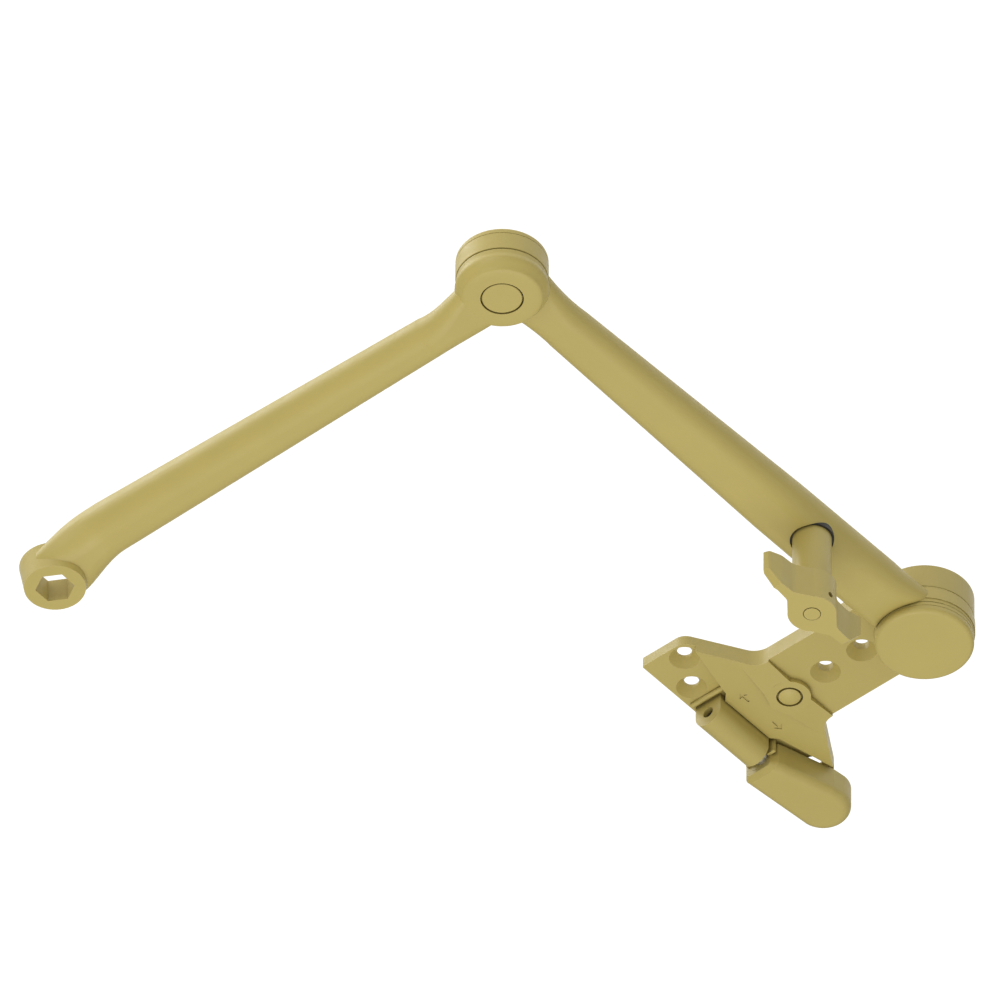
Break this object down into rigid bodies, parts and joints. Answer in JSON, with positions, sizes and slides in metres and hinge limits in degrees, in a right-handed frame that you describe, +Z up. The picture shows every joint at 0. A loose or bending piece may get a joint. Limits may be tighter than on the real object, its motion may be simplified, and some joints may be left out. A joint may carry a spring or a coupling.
{
  "type": "door closer arm",
  "caption": "Jointed door closer arm with a hold-open thumb turn, a hexagonal pinion socket and a soffit shoe that carries a sprung stop lug.",
  "frame": {"origin": "where the forearm's pivot axis meets the soffit shoe's mounting face", "axes": "+Z up, out of the mounting face into the soffit; -X along the shoe from the pivot to the stop; at rest the forearm runs along -Y and the main arm along -X"},
  "size_m": [0.3062, 0.3921, 0.0751],
  "materials": {
    "brass_paint": "satin brass-coloured paint",
    "zinc_steel": "zinc plated",
    "bronze": "sintered bronze",
    "spring_steel": "oiled spring steel"
  },
  "bodies": {
    "shoe": {"soffit_plate": "brass_paint", "stop_body": "brass_paint", "body_rivet": "brass_paint", "barrel_ring": "spring_steel", "cushion_spring": "spring_steel", "spring_seat": "zinc_steel", "preload_screw": "spring_steel", "pivot_stud": "zinc_steel", "hold_open_drum": "zinc_steel", "pivot_washer": "brass_paint", "pivot_ring": "spring_steel", "pivot_cap": "brass_paint"},
    "stop_lug": {"stop_lug": "brass_paint", "lug_flange": "brass_paint", "stop_rod": "zinc_steel", "lug_pin": "zinc_steel"},
    "forearm": {"forearm": "brass_paint", "pivot_bush": "bronze", "elbow_bush": "bronze", "handle_bush": "spring_steel", "mechanism_cover": "zinc_steel", "cover_screw": "zinc_steel", "detent_spring": "spring_steel"},
    "plunger": {"detent_plunger": "zinc_steel", "roller_pin": "zinc_steel"},
    "roller": {"detent_roller": "zinc_steel"},
    "follower": {"cam_follower": "zinc_steel"},
    "thumb_turn": {"thumb_turn": "brass_paint", "handle_shaft": "brass_paint", "shaft_clip": "spring_steel", "handle_set_screw": "zinc_steel"},
    "main_arm": {"main_arm": "brass_paint", "elbow_stud": "brass_paint", "elbow_washer": "bronze", "elbow_ring": "spring_steel", "elbow_cap": "brass_paint"}
  },
  "joints": [
    {"name": "forearm_swing", "type": "hinge", "parent": "shoe", "child": "forearm", "pos_m": [0, 0, -0.0183], "axis": [0, 0, 1], "range_deg": [-50, 229]},
    {"name": "elbow_swing", "type": "hinge", "parent": "forearm", "child": "main_arm", "pos_m": [0, -0.3, -0.0183], "axis": [0, 0, 1], "range_deg": [-45, 225]},
    {"name": "thumb_turn_quarter", "type": "hinge", "parent": "forearm", "child": "thumb_turn", "pos_m": [0.0033, -0.0838, -0.0568], "axis": [0, 0, 1], "range_deg": [0, 90]},
    {"name": "follower_slide", "type": "slide", "parent": "forearm", "child": "follower", "axis": [0, 1, 0], "range_m": [0, 0.003]},
    {"name": "plunger_slide", "type": "slide", "parent": "forearm", "child": "plunger", "axis": [0, 1, 0], "range_m": [0, 0.002], "deforming": ["detent_spring"]},
    {"name": "roller_spin", "type": "hinge", "parent": "plunger", "child": "roller", "pos_m": [0, -0.0181, -0.0183], "axis": [0, 0, 1], "continuous": true},
    {"name": "lug_cushion", "type": "slide", "parent": "shoe", "child": "stop_lug", "axis": [0, -1, 0], "range_m": [0, 0.0023], "stiffness_N_per_m": 20000, "springref_m": -0.002, "deforming": ["cushion_spring"]}
  ],
  "couplings": [
    {"joint": "follower_slide", "follows": "thumb_turn_quarter", "m_per_rad": 0.0019099},
    {"joint": "plunger_slide", "follows": "thumb_turn_quarter", "m_per_rad": 0.0012732}
  ]
}
